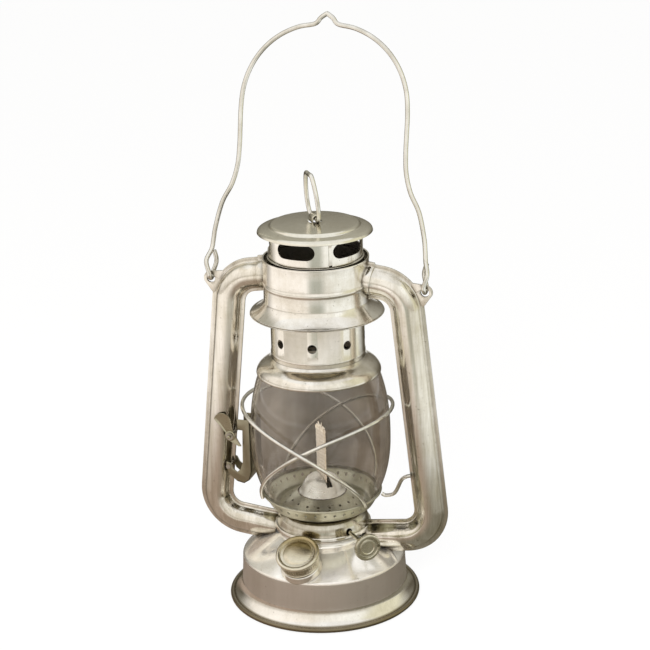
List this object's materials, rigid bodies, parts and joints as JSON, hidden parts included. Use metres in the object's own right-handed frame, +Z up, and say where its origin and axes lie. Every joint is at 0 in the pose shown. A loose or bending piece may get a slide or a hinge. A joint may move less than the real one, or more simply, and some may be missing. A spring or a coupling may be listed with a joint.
{
  "type": "hurricane lantern",
  "caption": "Tubular hurricane lantern: drum tank, hollow side tubes, lifting glass globe and chimney, flat wick burner with knob, screw filler cap and wire bail.",
  "frame": {"origin": "centre of the foot's underside", "axes": "+Z up, the side tubes lie along X, the filler cap faces -Y"},
  "size_m": [0.1556, 0.116, 0.3497],
  "materials": {
    "tinplate": "bright tinned sheet and wire",
    "fittings": "dull yellowed plating",
    "steel": "plain steel",
    "glass": "lightly smoked clear glass",
    "cotton": "flat woven wick",
    "cork": "matte gasket"
  },
  "bodies": {
    "frame": {"foot_skirt": "tinplate", "tank_shell": "tinplate", "tank_floor": "tinplate", "filler_neck": "fittings", "left_tube_front": "tinplate", "left_tube_back": "tinplate", "right_tube_front": "tinplate", "right_tube_back": "tinplate", "hood": "tinplate", "guide_ring": "fittings", "chimney_spring": "steel", "burner_base": "fittings", "burner_bell": "tinplate", "burner_dome": "tinplate", "wick_tube": "fittings", "spindle_brackets": "fittings", "lever_rivet": "steel"},
    "globe_carrier": {"globe_plate": "tinplate", "outer_guard_wire": "tinplate", "inner_guard_wire": "tinplate", "left_arm": "tinplate", "right_arm": "tinplate", "lift_band": "fittings", "band_pin": "steel", "globe": "glass"},
    "lever": {"lift_lever": "fittings"},
    "chimney": {"crown": "tinplate", "chimney_tube": "tinplate", "spring_collar": "fittings", "chimney_cap": "tinplate"},
    "loop": {"lifting_loop": "tinplate"},
    "bail": {"bail": "tinplate"},
    "knob": {"wick_knob": "fittings", "wick_spindle": "steel", "feed_wheels": "steel"},
    "wick": {"wick": "cotton", "wick_tail": "cotton"},
    "gasket": {"filler_gasket": "cork"},
    "cap": {"filler_cap": "fittings"}
  },
  "joints": [
    {"name": "globe_lift", "type": "slide", "parent": "frame", "child": "globe_carrier", "axis": [0, 0, 1], "range_m": [0, 0.012], "deforming": ["chimney_spring"]},
    {"name": "lever_turn", "type": "hinge", "parent": "frame", "child": "lever", "pos_m": [-0.0547, -0.0083, 0.0995], "axis": [0, -1, 0], "range_deg": [0, 66]},
    {"name": "chimney_lift", "type": "slide", "parent": "globe_carrier", "child": "chimney", "axis": [0, 0, 1], "range_m": [0, 0.008], "deforming": ["chimney_spring"]},
    {"name": "loop_swing", "type": "hinge", "parent": "chimney", "child": "loop", "pos_m": [0, 0, 0.2367], "axis": [0.5736, -0.8192, 0], "range_deg": [-94, 82]},
    {"name": "bail_swing", "type": "hinge", "parent": "frame", "child": "bail", "pos_m": [0, 0, 0.1995], "axis": [1, 0, 0], "range_deg": [-95, 121]},
    {"name": "knob_turn", "type": "hinge", "parent": "frame", "child": "knob", "pos_m": [0.00303, 0.00283, 0.04859], "axis": [0.682, -0.7314, 0], "range_deg": [-114, 530]},
    {"name": "wick_slide", "type": "slide", "parent": "frame", "child": "wick", "axis": [0, 0, 1], "range_m": [-0.028, 0.006], "deforming": ["wick_tail"]},
    {"name": "cap_rise", "type": "slide", "parent": "frame", "child": "gasket", "axis": [-0.0203, -0.4659, 0.8846], "range_m": [0, 0.00501]},
    {"name": "cap_turn", "type": "hinge", "parent": "gasket", "child": "cap", "pos_m": [-0.00169, -0.03876, 0.0332], "axis": [-0.0203, -0.4659, 0.8846], "range_deg": [0, 720]}
  ],
  "couplings": [
    {"joint": "lever_turn", "follows": "globe_lift", "rad_per_m": 94.5},
    {"joint": "wick_slide", "follows": "knob_turn", "m_per_rad": -0.003},
    {"joint": "cap_rise", "follows": "cap_turn", "m_per_rad": 0.00039789}
  ]
}
